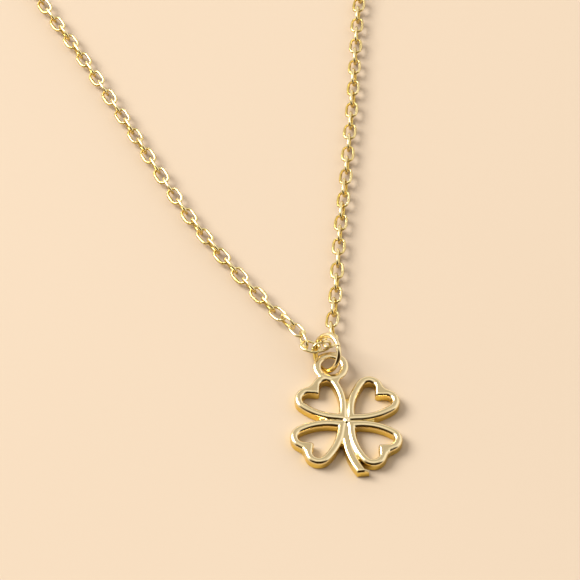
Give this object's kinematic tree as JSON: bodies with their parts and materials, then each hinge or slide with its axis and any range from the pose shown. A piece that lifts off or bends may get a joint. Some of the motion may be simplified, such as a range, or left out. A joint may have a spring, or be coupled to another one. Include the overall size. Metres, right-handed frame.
{
  "type": "four leaf clover pendant necklace",
  "caption": "Openwork clover pendant with heart-shaped leaves and a curved stem, on a jump ring and a closed loop of fine cable chain, laid flat",
  "frame": {"origin": "middle of the clover's flat back, on the surface it lies on", "axes": "+Y up the pendant towards the chain's clasp, +X right, +Z away from the surface"},
  "size_m": [0.0805, 0.1866, 0.0045],
  "materials": {
    "polished_gold": "polished",
    "wire_gold": "polished",
    "chain_gold": "polished"
  },
  "bodies": {
    "root": {"clover": "polished_gold", "jump_ring": "wire_gold", "chain_left": "chain_gold", "chain_right": "chain_gold", "clasp": "wire_gold"}
  },
  "joints": []
}
